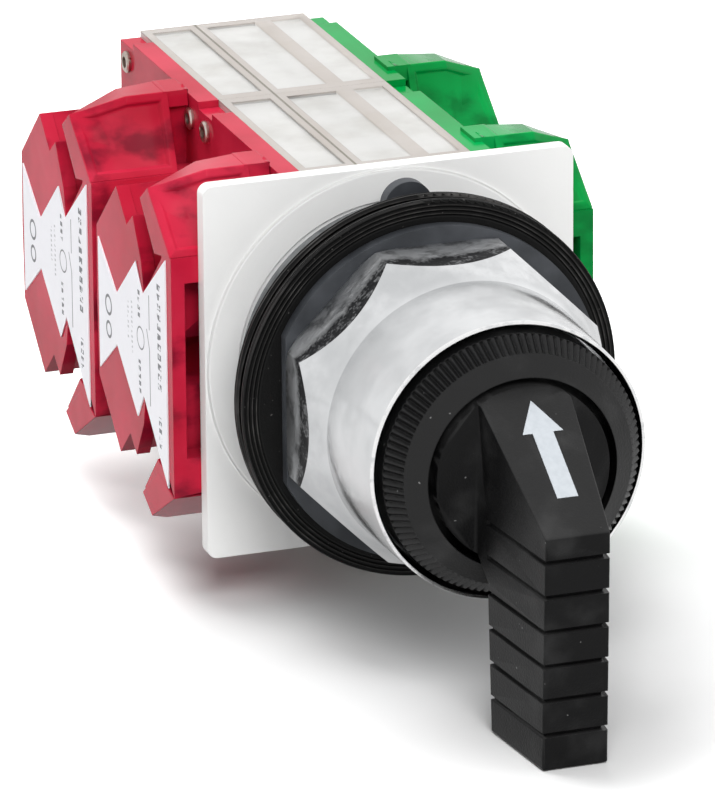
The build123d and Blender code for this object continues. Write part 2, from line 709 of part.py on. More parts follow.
rivet_end = {"left": seam_x - seam_wall, "right": rib_x + rib_thickness / 2}
rivets = []
for side_name, side in (("left", -1), ("right", 1)):
    slab_in = slab_inner_x[side_name]
    slab_out = slab_in + side * slab_thickness
    label_x = side * label_face_x
    pocket_in = slab_out + side * web_to_slab
    pocket_out = label_x - side * cheek
    pocket_x = (pocket_in + pocket_out) / 2
    pocket_span = abs(pocket_out - pocket_in)
    contact_x = side * rod_offset
    rivet_end_x = rivet_end[side_name]
    terminal_screws = []
    terminal_clamps = []
    for layer, layer_name in enumerate(layers):
        block = f"{side_name}_{layer_name}"
        front_y = plate_rear_y + layer * layer_depth
        rear_y = front_y + layer_depth
        edge_y = rear_y - rear_overhang
        slot_foot = stretched([slot_root])[0]
        slot_plane = Plane(
            origin=(pocket_x, edge_y - slot_foot[0], slot_foot[1]),
            x_dir=(1, 0, 0),
            z_dir=(0, slot_rise, slot_run),
        )

        # Terminal housing: slab, slotted body and angled arms; the upper half is drawn and mirrored
        with BuildPart() as terminal_housing:
            with BuildSketch(Plane.YZ.offset(slab_out)):
                add(
                    side_outline(
                        edge_y,
                        stretched(
                            [
                                (0, 0),
                                body_rear_top,
                                body_crown,
                                body_notch,
                                body_bump,
                                body_lip,
                                slot_root,
                                slot_front_top,
                                (slot_front_top[0], flange_top),
                                (outline_depth, flange_top),
                                (outline_depth, 0),
                            ]
                        ),
                    )
                )
            extrude(amount=label_x - slab_out)
            with BuildSketch(Plane.YZ.offset(slab_in)):
                add(
                    side_outline(
                        edge_y,
                        [
                            (-rear_overhang, 0),
                            (-rear_overhang, block_half_height - slab_step),
                            (slab_step_length - rear_overhang, block_half_height - slab_step),
                            (slab_step_length - rear_overhang, block_half_height),
                            (front_depth, block_half_height),
                            (front_depth, 0),
                        ],
                    )
                )
            extrude(amount=slab_out - slab_in)
            with BuildPart() as arm:
                with BuildSketch(Plane.YZ.offset(label_x)):
                    arm_points = [arm_foot_inner, arm_foot_outer, arm_tip_outer, arm_tip_inner]
                    add(side_outline(edge_y, stretched(arm_points)))
                with BuildSketch(Plane.YZ.offset(label_x + bend_place * (slab_out - label_x))):
                    bend_points = [bend_foot_inner, bend_foot_outer, bend_tip_outer, bend_tip_inner]
                    add(side_outline(edge_y, stretched(bend_points)))
                with BuildSketch(Plane.YZ.offset(slab_out)):
                    fin_points = [fin_foot_inner, fin_foot_outer, fin_tip_outer, fin_tip_inner]
                    add(side_outline(edge_y, stretched(fin_points)))
                loft(ruled=True)
            with BuildSketch(slot_plane):
                with Locations((0, slot_pocket_back)):
                    Rectangle(pocket_span, slot_pocket_width, align=(Align.CENTER, Align.MAX))
            extrude(amount=slot_pocket_length, mode=Mode.SUBTRACT)
            with BuildSketch(slot_plane):
                with Locations((0, -terminal_offset)):
                    Circle(terminal_screw_radius + thread_clearance)
            extrude(amount=-terminal_screw_length - seat_clearance, mode=Mode.SUBTRACT)
            with BuildSketch(Plane.YZ.offset(slab_in)):
                add(
                    side_outline(
                        edge_y,
                        [
                            (tongue_place - seat_clearance, tongue_bottom_z - seat_clearance),
                            (tongue_place - seat_clearance, tongue_top_z + seat_clearance),
                            (tongue_front + seat_clearance, tongue_top_z + seat_clearance),
                            (tongue_front + seat_clearance, tongue_bottom_z - seat_clearance),
                        ],
                    )
                )
            extrude(amount=pocket_in - slab_in, mode=Mode.SUBTRACT)
            for half_height, depth in (
                (recess_half_height, recess_depth),
                (deep_recess_half_height, deep_recess_depth),
            ):
                with BuildSketch(Plane.XZ.offset(-front_y - depth)):
                    with Locations((pocket_x, 0)):
                        Rectangle(pocket_span, half_height, align=(Align.CENTER, Align.MIN))
                extrude(amount=depth, mode=Mode.SUBTRACT)
            with BuildSketch(Plane.YZ.offset(slab_out)):
                with Locations((front_y + rivet_inset, rivet_z), (rear_y - rivet_inset, rivet_z)):
                    Circle(rivet_radius + seat_clearance)
            extrude(amount=slab_in - slab_out, mode=Mode.SUBTRACT)
            mirror(about=Plane.XY)
        terminal_housing.part.label = f"terminal_housing_{block}"
        export_step(terminal_housing.part, f"parts/terminal_housing_{block}.step")

        # Clear case: a tray that the slab closes, with rivet bosses and a guide for the plunger
        with BuildPart() as clear_case:
            tray_wall = seam_x + side * seam_wall
            with BuildSketch(Plane.YZ.offset(seam_x)):
                with Locations((front_y, 0)):
                    Rectangle(layer_depth, block_half_height, align=(Align.MIN, Align.MIN))
            extrude(amount=slab_in - seam_x)
            with BuildSketch(Plane.YZ.offset(tray_wall)):
                with Locations((front_y + case_wall, 0)):
                    Rectangle(
                        layer_depth - 2 * case_wall,
                        block_half_height - case_wall,
                        align=(Align.MIN, Align.MIN),
                    )
                with Locations((front_y + case_wall, block_half_height - case_wall)):
                    Rectangle(boss_side, boss_side, align=(Align.MIN, Align.MAX), mode=Mode.SUBTRACT)
                with Locations((rear_y - case_wall, block_half_height - case_wall)):
                    Rectangle(boss_side, boss_side, align=(Align.MAX, Align.MAX), mode=Mode.SUBTRACT)
            extrude(amount=slab_in - tray_wall, mode=Mode.SUBTRACT)
            pane_edges = [seam_x, slab_in]
            if side_name == "right":
                pane_edges = [seam_x, rib_x, slab_in]
                with Locations((rib_x, front_y, 0)):
                    Box(
                        rib_thickness,
                        layer_depth,
                        block_half_height,
                        align=(Align.CENTER, Align.MIN, Align.MIN),
                    )
                with Locations((seam_x, front_y, block_half_height)):
                    Box(
                        rib_x - seam_x,
                        layer_depth,
                        block_half_height - block_screw_z + screw_boss_margin,
                        align=(Align.MIN, Align.MIN, Align.MAX),
                    )
                with BuildSketch(Plane.XZ.offset(-rear_y)):
                    with Locations((block_screw_x, block_screw_z)):
                        Circle(block_screw_radius + seat_clearance)
                extrude(amount=layer_depth, mode=Mode.SUBTRACT)
                if layer_name == layers[-1]:
                    with BuildSketch(Plane.XZ.offset(-rear_y)):
                        with Locations((block_screw_x, block_screw_z)):
                            Circle(block_screw_head_radius + seat_clearance)
                    extrude(amount=rear_y - block_head_seat_y, mode=Mode.SUBTRACT)
            with BuildSketch(Plane.YZ.offset(rivet_end_x)):
                with Locations((front_y + rivet_inset, rivet_z), (rear_y - rivet_inset, rivet_z)):
                    Circle(rivet_radius + seat_clearance)
            extrude(amount=slab_in - rivet_end_x, mode=Mode.SUBTRACT)
            with BuildSketch(Plane.XY.offset(block_half_height)):
                for pane_start, pane_end in zip(pane_edges, pane_edges[1:]):
                    with Locations(((pane_start + pane_end) / 2, front_y + layer_depth / 2)):
                        Rectangle(
                            abs(pane_end - pane_start) - 2 * pane_margin,
                            layer_depth - 2 * pane_margin - case_wall,
                        )
            extrude(amount=-pane_recess, mode=Mode.SUBTRACT)
            mirror(about=Plane.XY)
            with BuildSketch(Plane.XZ.offset(-rear_y)):
                with Locations((contact_x, 0)):
                    Circle(guide_boss_radius)
            extrude(amount=guide_boss_length)
            with BuildSketch(Plane.XZ.offset(-rear_y)):
                with Locations((contact_x, 0)):
                    Circle(plunger_hole_radius)
            extrude(amount=layer_depth, mode=Mode.SUBTRACT)
        clear_case.part.label = f"clear_case_{block}"
        export_step(clear_case.part, f"parts/clear_case_{block}.step")

        # Straps: an angled pad under the terminal screw and a tongue that carries the fixed contact
        with BuildPart() as strap:
            with BuildSketch(slot_plane):
                with Locations((0, -terminal_offset)):
                    Rectangle(pocket_span - 2 * seat_clearance, slot_pocket_width - 2 * slot_pocket_back)
            extrude(amount=strap_thickness)
            tongue_start = pocket_in + side * tongue_root
            tongue_end = contact_x - side * tongue_past_contact
            with BuildSketch(Plane.YZ.offset(tongue_start)):
                add(
                    side_outline(
                        edge_y,
                        [
                            (tongue_place, tongue_bottom_z),
                            (tongue_place, tongue_top_z),
                            (tongue_front, tongue_top_z),
                            (tongue_front, tongue_bottom_z),
                        ],
                    )
                )
            extrude(amount=tongue_end - tongue_start)
            with BuildSketch(slot_plane):
                with Locations((0, -terminal_offset)):
                    Circle(terminal_screw_radius + seat_clearance)
            extrude(amount=strap_thickness, mode=Mode.SUBTRACT)
            # The fixed contact faces the bridge: rearward on the left side, forward on the right
            if side_name == "left":
                button_base_y = edge_y - tongue_place
            else:
                button_base_y = edge_y - tongue_front
            with BuildSketch(Plane.XZ.offset(-button_base_y)):
                with Locations((contact_x, contact_place_z)):
                    Circle(button_radius)
            extrude(amount=side * button_height)
        strap.part.label = f"terminal_strap_{block}_upper"
        export_step(strap.part, f"parts/terminal_strap_{block}_upper.step")
        with BuildPart() as lower_strap:
            add(strap.part.mirror(Plane.XY))
        lower_strap.part.label = f"terminal_strap_{block}_lower"
        export_step(lower_strap.part, f"parts/terminal_strap_{block}_lower.step")

        # Terminal screws and their square clamps, two to a block
        with BuildPart() as screw:
            with BuildSketch(slot_plane.offset(-terminal_screw_length)):
                with Locations((0, -terminal_offset)):
                    Circle(terminal_screw_radius)
            extrude(amount=terminal_screw_length + strap_thickness + clamp_thickness)
            with BuildSketch(slot_plane.offset(strap_thickness + clamp_thickness)):
                with Locations((0, -terminal_offset)):
                    Circle(terminal_head_radius)
            extrude(amount=terminal_head_height)
            head_top = strap_thickness + clamp_thickness + terminal_head_height
            with BuildSketch(slot_plane.offset(head_top)):
                with Locations((0, -terminal_offset)):
                    Rectangle(3 * terminal_head_radius, driver_slot_width)
            extrude(amount=-driver_slot_depth, mode=Mode.SUBTRACT)
        terminal_screws += [screw.part, screw.part.mirror(Plane.XY)]
        with BuildPart() as clamp:
            with BuildSketch(slot_plane.offset(strap_thickness)):
                with Locations((0, -terminal_offset)):
                    Rectangle(clamp_side, clamp_side)
                    Circle(terminal_screw_radius + seat_clearance, mode=Mode.SUBTRACT)
            extrude(amount=clamp_thickness)
        terminal_clamps += [clamp.part, clamp.part.mirror(Plane.XY)]

        # Moving contact: closed when the plunger is out on the left, when it is pushed on the right
        open_gap = plunger_travel + contact_clearance
        if side_name == "left":
            bridge_front_y = button_base_y + 2 * button_height + open_gap
            button_start_y = bridge_front_y
        else:
            bridge_front_y = button_base_y - 2 * button_height - open_gap - bridge_thickness
            button_start_y = bridge_front_y + bridge_thickness
        bridge_rear_y = bridge_front_y + bridge_thickness
        with BuildPart() as bridge:
            with BuildSketch(Plane.XZ.offset(-bridge_rear_y)):
                with Locations((contact_x, 0)):
                    Rectangle(bridge_width, 2 * bridge_half_length)
                    Circle(plunger_radius + seat_clearance, mode=Mode.SUBTRACT)
            extrude(amount=bridge_thickness)
            with BuildSketch(Plane.XZ.offset(-button_start_y)):
                with Locations((contact_x, contact_place_z), (contact_x, -contact_place_z)):
                    Circle(button_radius)
            extrude(amount=-side * button_height)
        bridge.part.label = f"contact_bridge_{block}"
        export_step(bridge.part, f"parts/contact_bridge_{block}.step")

        with BuildPart() as plunger:
            plunger_start_y = front_y - plunger_nose
            plunger_end_y = rear_y - plunger_nose - plunger_gap
            with BuildSketch(Plane.XZ.offset(-plunger_end_y)):
                with Locations((contact_x, 0)):
                    Circle(plunger_radius)
            extrude(amount=plunger_end_y - plunger_start_y)
            with BuildSketch(Plane.XZ.offset(-bridge_front_y)):
                with Locations((contact_x, 0)):
                    Circle(plunger_collar_radius)
            extrude(amount=plunger_collar_length)
        plunger.part.label = f"plunger_{block}"
        export_step(plunger.part, f"parts/plunger_{block}.step")

        with BuildPart() as return_spring:
            spring_start_y = bridge_rear_y + spring_wire_radius
            spring_end_y = rear_y - guide_boss_length - spring_wire_radius
            spring_turns = round((spring_end_y - spring_start_y) / spring_pitch)
            with BuildLine() as coil:
                Helix(
                    (spring_end_y - spring_start_y) / spring_turns,
                    spring_end_y - spring_start_y,
                    spring_radius,
                    center=(contact_x, spring_start_y, 0),
                    direction=(0, 1, 0),
                )
            with BuildSketch(Plane(origin=coil.wire() @ 0, z_dir=coil.wire() % 0)):
                Circle(spring_wire_radius)
            sweep(path=coil.wire(), is_frenet=True)
        return_spring.part.label = f"return_spring_{block}"
        export_step(return_spring.part, f"parts/return_spring_{block}.step")

        # Rivets hold the slab to the clear case
        with BuildPart() as rivet:
            rivet_places = [
                (y, z)
                for y in (front_y + rivet_inset, rear_y - rivet_inset)
                for z in (rivet_z, -rivet_z)
            ]
            with BuildSketch(Plane.YZ.offset(slab_out)):
                with Locations(*rivet_places):
                    Circle(rivet_head_radius)
            extrude(amount=side * rivet_head_height)
            with BuildSketch(Plane.YZ.offset(rivet_end_x + side * seat_clearance)):
                with Locations(*rivet_places):
                    Circle(rivet_radius)
            extrude(amount=slab_out - rivet_end_x - side * seat_clearance)
        rivets += rivet.part.solids()

        # Label stuck on the left block's outer face
        if side_name == "left":
            with BuildPart() as label:
                label_points = stretched(label_outline)
                closing = [(depth, -height) for depth, height in reversed(label_points)]
                with BuildSketch(Plane.YZ.offset(label_x)):
                    add(side_outline(edge_y, label_points + closing))
                extrude(amount=side * label_thickness)
            label.part.label = f"label_{layer_name}"
            export_step(label.part, f"parts/label_{layer_name}.step")

    with BuildPart() as screw_group:
        add(terminal_screws)
    screw_group.part.label = f"terminal_screws_{side_name}"
    export_step(screw_group.part, f"parts/terminal_screws_{side_name}.step")
    with BuildPart() as clamp_group:
        add(terminal_clamps)
    clamp_group.part.label = f"terminal_clamps_{side_name}"
    export_step(clamp_group.part, f"parts/terminal_clamps_{side_name}.step")

with BuildPart() as case_rivets:
    add(rivets)
case_rivets.part.label = "case_rivets"
export_step(case_rivets.part, "parts/case_rivets.step")
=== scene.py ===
import math

import bpy
from mathutils import Matrix, Vector


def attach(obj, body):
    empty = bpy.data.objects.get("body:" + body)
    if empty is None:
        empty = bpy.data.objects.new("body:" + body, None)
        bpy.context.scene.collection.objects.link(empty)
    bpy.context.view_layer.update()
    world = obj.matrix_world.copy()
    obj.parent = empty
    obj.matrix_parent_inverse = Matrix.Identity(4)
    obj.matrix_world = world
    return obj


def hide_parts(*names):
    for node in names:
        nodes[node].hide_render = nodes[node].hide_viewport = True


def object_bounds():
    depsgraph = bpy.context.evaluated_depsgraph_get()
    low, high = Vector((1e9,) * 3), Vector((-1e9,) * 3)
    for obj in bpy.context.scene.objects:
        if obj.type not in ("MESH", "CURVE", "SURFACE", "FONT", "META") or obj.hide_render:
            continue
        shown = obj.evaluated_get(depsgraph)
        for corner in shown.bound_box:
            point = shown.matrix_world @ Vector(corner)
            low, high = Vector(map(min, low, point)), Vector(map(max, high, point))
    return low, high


# The switch lies unmounted on a plain table, turned so that its knob faces the camera.
# All sizes are in metres, and the turning axis of the knob is Y.
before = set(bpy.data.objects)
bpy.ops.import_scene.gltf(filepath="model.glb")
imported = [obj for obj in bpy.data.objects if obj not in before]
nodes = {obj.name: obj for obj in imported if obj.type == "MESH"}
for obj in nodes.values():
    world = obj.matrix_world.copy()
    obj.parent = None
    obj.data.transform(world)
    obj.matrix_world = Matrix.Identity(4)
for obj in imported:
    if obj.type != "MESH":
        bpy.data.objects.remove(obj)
cad_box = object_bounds()

# Camera: a long lens from the front left, a little above the switch. It aims at the middle of
# the switch and leans by half a degree.
camera_turn = math.radians(19.3)
camera_height = math.radians(19.6)
camera_roll = math.radians(-0.47)
camera_distance = 0.9
camera_target = Vector((-0.00404, 0.0135, -0.00525))
camera_back = Vector(
    (
        -math.sin(camera_turn) * math.cos(camera_height),
        -math.cos(camera_turn) * math.cos(camera_height),
        math.sin(camera_height),
    )
)
camera_side = Vector((math.cos(camera_turn), -math.sin(camera_turn), 0))
camera_up = camera_back.cross(camera_side)
lens = bpy.data.cameras.new("camera")
lens.sensor_fit = "VERTICAL"
lens.sensor_height = 36
lens.lens = 355.2
lens.clip_start = 0.1
lens.clip_end = 10
camera = bpy.data.objects.new("camera", lens)
bpy.context.scene.collection.objects.link(camera)
image_right = math.cos(camera_roll) * camera_side + math.sin(camera_roll) * camera_up
image_up = math.cos(camera_roll) * camera_up - math.sin(camera_roll) * camera_side
camera_axes = Matrix((image_right, image_up, camera_back)).transposed().to_4x4()
camera_place = Matrix.Translation(camera_target + camera_distance * camera_back)
camera.matrix_world = camera_place @ camera_axes
bpy.context.scene.camera = camera

# Light: a large soft box in front, one above and behind, and weak ones at the sides. Shiny
# pieces mirror the white surroundings and not the boxes.
bpy.context.scene.view_settings.view_transform = "Standard"
light_target = Vector((0, 0.01, 0))
for light_name, place, size, power in (
    ("light_front", (-0.2, -1.0, 0.95), 0.7, 14.5),
    ("light_top", (-0.17, 0.42, 1.0), 0.65, 11.0),
    ("light_left", (-1.0, 0.2, 0.14), 0.5, 0.6),
    ("light_right", (0.9, -0.5, 0.4), 0.6, 1.6),
):
    lamp = bpy.data.lights.new(light_name, "AREA")
    lamp.size = size
    lamp.energy = power
    light = bpy.data.objects.new(light_name, lamp)
    light.location = place
    light.visible_glossy = False
    light.rotation_mode = "QUATERNION"
    light.rotation_quaternion = (Vector(place) - light_target).to_track_quat("Z", "Y")
    bpy.context.scene.collection.objects.link(light)


# Base plate: a square plate moulded in off-white plastic, 2 mm thick, with a low raised ring
# that seats the operator. Two screws hold it to the operator's drum.
class Signal:
    """A socket of a finish, on which sums and products add Math nodes."""

    def __init__(self, finish, socket):
        self.finish = finish
        self.socket = socket

    def maths(self, operation, first, second=0.0):
        return self.finish.add("ShaderNodeMath", {"operation": operation}, {0: first, 1: second})

    def __add__(self, other):
        return self.maths("ADD", self, other)

    def __radd__(self, other):
        return self.maths("ADD", other, self)

    def __sub__(self, other):
        return self.maths("SUBTRACT", self, other)

    def __rsub__(self, other):
        return self.maths("SUBTRACT", other, self)

    def __mul__(self, other):
        return self.maths("MULTIPLY", self, other)

    def __rmul__(self, other):
        return self.maths("MULTIPLY", other, self)

    def __neg__(self):
        return self.maths("MULTIPLY", self, -1.0)

    def __abs__(self):
        return self.maths("ABSOLUTE", self)

    def lower(self, other):
        return self.maths("MINIMUM", self, other)

    def higher(self, other):
        return self.maths("MAXIMUM", self, other)

    def wrapped(self, period):
        return self.maths("FLOORED_MODULO", self, period)

    def root(self):
        return self.maths("SQRT", self)

    def sine(self):
        return self.maths("SINE", self)

    def between(self, start, end):
        """0 before start and 1 after end, rising smoothly."""
        return self.finish.add(
            "ShaderNodeMapRange",
            {"interpolation_type": "SMOOTHSTEP"},
            {"Value": self, "From Min": start, "From Max": end},
        )


class NodeTree:
    """The nodes of a finish or of the surroundings, added one by one."""

    def __init__(self, owner):
        owner.use_nodes = True
        self.tree = owner.node_tree

    def add(self, kind, settings=None, inputs=None, output=0):
        made = self.tree.nodes.new(kind)
        for key, value in (settings or {}).items():
            setattr(made, key, value)
        for key, value in (inputs or {}).items():
            if isinstance(value, Signal):
                self.tree.links.new(value.socket, made.inputs[key])
            else:
                made.inputs[key].default_value = value
        return Signal(self, made.outputs[output])

    def rays(self, *kinds):
        """1 for rays of any of those kinds, and 0 for the others."""
        outputs = self.add("ShaderNodeLightPath").socket.node.outputs
        found = Signal(self, outputs[f"Is {kinds[0]} Ray"])
        for kind in kinds[1:]:
            found = found.higher(Signal(self, outputs[f"Is {kind} Ray"]))
        return found


class Finish(NodeTree):
    """A material with one Principled shader."""

    def __init__(self, name, **constants):
        self.material = bpy.data.materials.new(name)
        super().__init__(self.material)
        self.shader = self.tree.nodes["Principled BSDF"]
        for key, value in constants.items():
            self.shader.inputs[key.replace("_", " ")].default_value = value
        self.place = self.add("ShaderNodeTexCoord", output="Object")

    def split(self, vector):
        parts = self.add("ShaderNodeSeparateXYZ", inputs={0: vector}).socket.node.outputs
        return [Signal(self, part) for part in parts]

    def axes(self):
        """How far a point lies along X, Y and Z."""
        return self.split(self.place)

    def facing(self):
        """How much the surface faces along X, Y and Z, from -1 to 1."""
        return self.split(self.add("ShaderNodeTexCoord", output="Normal"))

    def noise(self, scale, detail=2.0, stretch=None):
        place = self.place
        if stretch:
            place = self.add("ShaderNodeMapping", inputs={"Vector": place, "Scale": stretch})
        return self.add(
            "ShaderNodeTexNoise", inputs={"Vector": place, "Scale": scale, "Detail": detail}
        )

    def blend(self, amount, first, second):
        def color(value):
            return value if isinstance(value, Signal) else (*value, 1)

        return self.add(
            "ShaderNodeMix",
            {"data_type": "RGBA"},
            {"Factor": amount, 6: color(first), 7: color(second)},
            output=2,
        )

    def feed(self, **signals):
        for key, value in signals.items():
            self.tree.links.new(value.socket, self.shader.inputs[key.replace("_", " ")])

    def relief(self, height, depth, rounding=0.0):
        """Bumps of that depth in metres, and edges shaded as if rounded to that radius."""
        inputs = {"Height": height, "Distance": depth}
        if rounding:
            inputs["Normal"] = self.add("ShaderNodeBevel", {"samples": 4}, {"Radius": rounding})
        self.feed(Normal=self.add("ShaderNodeBump", inputs=inputs))

    def cover(self, *names):
        for name in names:
            for place in nodes[name].material_slots:
                place.material = self.material


plate_ring_edge = (0.0217, 0.0222)
plate_ring_height = 0.0003
plate_edge_radius = 0.00015
white_plate = Finish("white_plate", Roughness=0.42, IOR=1.49)
x, y, z = white_plate.axes()
reach = (x * x + z * z).root()
ring_rise = 1.0 - reach.between(*plate_ring_edge)
moulding = white_plate.noise(2600.0, 3.0)
cloud = white_plate.noise(60.0, 2.0)
plate_color = white_plate.blend(cloud.between(0.3, 0.7), (0.83, 0.83, 0.82), (0.79, 0.79, 0.785))
white_plate.feed(Base_Color=plate_color, Roughness=0.38 + 0.12 * cloud)
white_plate.relief(ring_rise + 0.03 * moulding, plate_ring_height, plate_edge_radius)
white_plate.cover("base_plate")

# Gaskets: three rings pressed from black rubber, one behind the other, each with a soft lip.
# They seal the panel's hole. Their edges carry the fine turned lines of the mould, and dust.
# The rubber ring round the knob's hub is of the same rubber.
lips_start = (0.0202, 0.0209)
lines_per_metre = 12500.0 / (2.0 * math.pi)
lip_height = 0.00025
rubber = Finish("rubber", Roughness=0.6, IOR=1.5, Specular_IOR_Level=0.16)
x, y, z = rubber.axes()
reach = (x * x + z * z).root()
grain = rubber.noise(3200.0, 4.0)
paleness = rubber.noise(230.0, 6.0)
sway = 0.0004 * rubber.noise(55.0, 2.0)
lines = ((y - reach + sway) * (2.0 * math.pi * lines_per_metre)).sine()
lips = lines * reach.between(*lips_start)
specks = rubber.noise(2300.0, 1.0).between(0.74, 0.77)
dusty = (lips.between(0.1, 1.0) * (0.35 + paleness.between(0.45, 0.75))).higher(specks)
rubber.feed(
    Base_Color=rubber.blend(dusty, (0.004, 0.004, 0.004), (0.075, 0.072, 0.07)),
    Roughness=0.5 + 0.2 * paleness,
)
rubber.relief(0.2 * grain + lips, lip_height)
rubber.cover("gasket_front", "gasket_middle", "gasket_rear", "knob_seal")

# Washers: the trim washer with one flat and the thick locating washer with its tab are cast in
# zinc and blackened.
dark_zinc = Finish("dark_zinc", Metallic=0.2, Roughness=0.5, Specular_IOR_Level=0.4)
cast = dark_zinc.noise(900.0, 4.0)
patina = dark_zinc.noise(140.0, 3.0)
zinc_color = dark_zinc.blend(
    patina.between(0.35, 0.7), (0.034, 0.037, 0.042), (0.07, 0.075, 0.084)
)
dark_zinc.feed(Base_Color=zinc_color, Roughness=0.42 + 0.2 * patina)
dark_zinc.relief(cast, 0.00006, 0.0001)
dark_zinc.cover("trim_washer", "locating_tab_washer")

# Ring nut: die cast in zinc and chrome plated, with an octagonal flange, a cone and a round
# sleeve. The plating is bright, but on the wrench flats the cast skin shows through, dark in its
# pits. Painted shade darkens the sleeve's root, every face turned down and every face turned to
# the left, and streaks on the cone, and the sleeve's front edge has a painted highlight, broken up
# by the pits.
flats_start = (0.0169, 0.0173)
soot_front = -0.0057
soot_radius = 0.0193
soot_slope = 0.943
soot_width = (0.0003, 0.0019)
sleeve_root = (-0.0155, -0.0117)
sleeve_foot = (-0.0117, -0.0108)
painted_streak_zone = (-0.0117, -0.0105)
sleeve_rim = (-0.0249, -0.0245)
chrome = Finish("chrome", Metallic=1.0, Roughness=0.2)
x, y, z = chrome.axes()
reach = (x * x + z * z).root()
facing_x, facing_y, facing_z = chrome.facing()
upright = 1.0 - abs(facing_y).between(0.2, 0.4)
# Faces turned down and faces turned to the left get painted shade.
painted_underside_shade = 1.0 - facing_z.between(-0.45, 0.2)
painted_leftward_shade = 1.0 - facing_x.between(-0.8, 0.1)
flats = upright * reach.between(*flats_start)
pits = chrome.noise(650.0, 8.0)
clouds = chrome.noise(110.0, 5.0)
streaks = chrome.noise(330.0, 6.0)
grit = chrome.noise(2600.0, 3.0)
edge_gap = y - soot_front + soot_slope * (soot_radius - reach) + 0.0012 * (streaks - 0.5)
soot = (1.0 - edge_gap.between(*soot_width)) * (0.65 + 0.6 * pits.between(0.3, 0.65))
soot = soot + 0.5 * streaks.between(0.46, 0.64) * pits.between(0.35, 0.6)
soot = (soot * (0.75 + 0.4 * grit.between(0.35, 0.6))).lower(0.96) * flats
# Painted shade on the sleeve where it meets the cone.
root = y.between(*sleeve_root) * (1.0 - y.between(*sleeve_foot)) * upright
# Painted shade in streaks on the cone, behind the sleeve's foot.
painted_cone_streaks = y.between(*painted_streak_zone) * streaks.between(0.35, 0.6)
# A painted highlight on the sleeve's front edge, broken up by the pits.
painted_rim_highlight = (1.0 - y.between(*sleeve_rim)) * pits.between(0.35, 0.5)
silver = chrome.blend(clouds.between(0.36, 0.68), (0.88, 0.89, 0.9), (0.66, 0.67, 0.68))
silver = chrome.blend(0.4 * root, silver, (0.25, 0.26, 0.27))
silver = chrome.blend(0.3 * flats, silver, (0.4, 0.41, 0.43))
silver = chrome.blend(0.4 * painted_underside_shade, silver, (0.5, 0.51, 0.52))
silver = chrome.blend(0.4 * painted_leftward_shade, silver, (0.5, 0.51, 0.52))
silver = chrome.blend(0.5 * painted_cone_streaks, silver, (0.55, 0.56, 0.57))
silver = chrome.blend(painted_rim_highlight, silver, (0.95, 0.95, 0.95))
chrome.feed(
    Base_Color=chrome.blend(soot, silver, (0.012, 0.012, 0.014)),
    Roughness=0.13 + 0.14 * clouds.between(0.4, 0.7) + 0.25 * flats,
)
chrome.relief(pits * (0.15 + 1.6 * flats) + 0.4 * clouds, 0.00012, 0.0001)
chrome.cover("ring_nut")


# Knob and its retaining ring: moulded in black glass-filled nylon with a fine satin skin.
# The ring screws into the barrel, and its knurled front gives the fingers a hold. The lever's
# six grooves run round its front as well as its sides, so the knob gets them cut there.
def black_nylon(name, gloss, painted_top_light):
    nylon = Finish(name, Roughness=0.4, IOR=1.5, Specular_IOR_Level=gloss)
    skin = nylon.noise(3800.0, 3.0)
    rub = nylon.noise(130.0, 5.0)
    specks = nylon.noise(1500.0, 1.0).between(0.79, 0.82)
    facing_x, facing_y, facing_z = nylon.facing()
    # On the knob, faces turned up are painted paler: painted light from above.
    paleness = painted_top_light * facing_z.between(0.2, 0.6)
    pale = specks.higher(paleness + 0.1 * rub.between(0.5, 0.75))
    nylon.feed(
        Base_Color=nylon.blend(pale, (0.003, 0.003, 0.0032), (0.16, 0.16, 0.16)),
        Roughness=0.26 + 0.22 * rub,
    )
    nylon.relief(skin + 0.6 * rub, 0.00004, 0.00018)
    return nylon


def deselect_all():
    bpy.ops.object.select_all(action="DESELECT")


def select_only(piece):
    deselect_all()
    piece.select_set(True)
    bpy.context.view_layer.objects.active = piece


def own_copy(node, name):
    """A copy of a CAD node as one joined mesh, which stands for the node."""
    copy = nodes[node].copy()
    copy.data = nodes[node].data.copy()
    copy.name = name
    copy.parent = None
    bpy.context.scene.collection.objects.link(copy)
    copy.matrix_world = nodes[node].matrix_world
    select_only(copy)
    bpy.ops.object.mode_set(mode="EDIT")
    bpy.ops.mesh.select_all(action="SELECT")
    bpy.ops.mesh.remove_doubles(threshold=0.000001)
    bpy.ops.object.mode_set(mode="OBJECT")
    return copy


def apply_modifier(piece, kind, **settings):
    made = piece.modifiers.new(kind.lower(), kind)
    for key, value in settings.items():
        setattr(made, key, value)
    select_only(piece)
    bpy.ops.object.modifier_apply(modifier=made.name)


def cut_away(piece, cutter):
    apply_modifier(piece, "BOOLEAN", operation="DIFFERENCE", object=cutter, solver="EXACT")
    bpy.data.objects.remove(cutter)


def finish_piece(piece, body, crease=32):
    """Smooth all but its edges, and let the piece ride on a body of the CAD model."""
    select_only(piece)
    bpy.ops.object.shade_smooth_by_angle(angle=math.radians(crease))
    apply_modifier(piece, "WEIGHTED_NORMAL", keep_sharp=True)
    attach(piece, body)


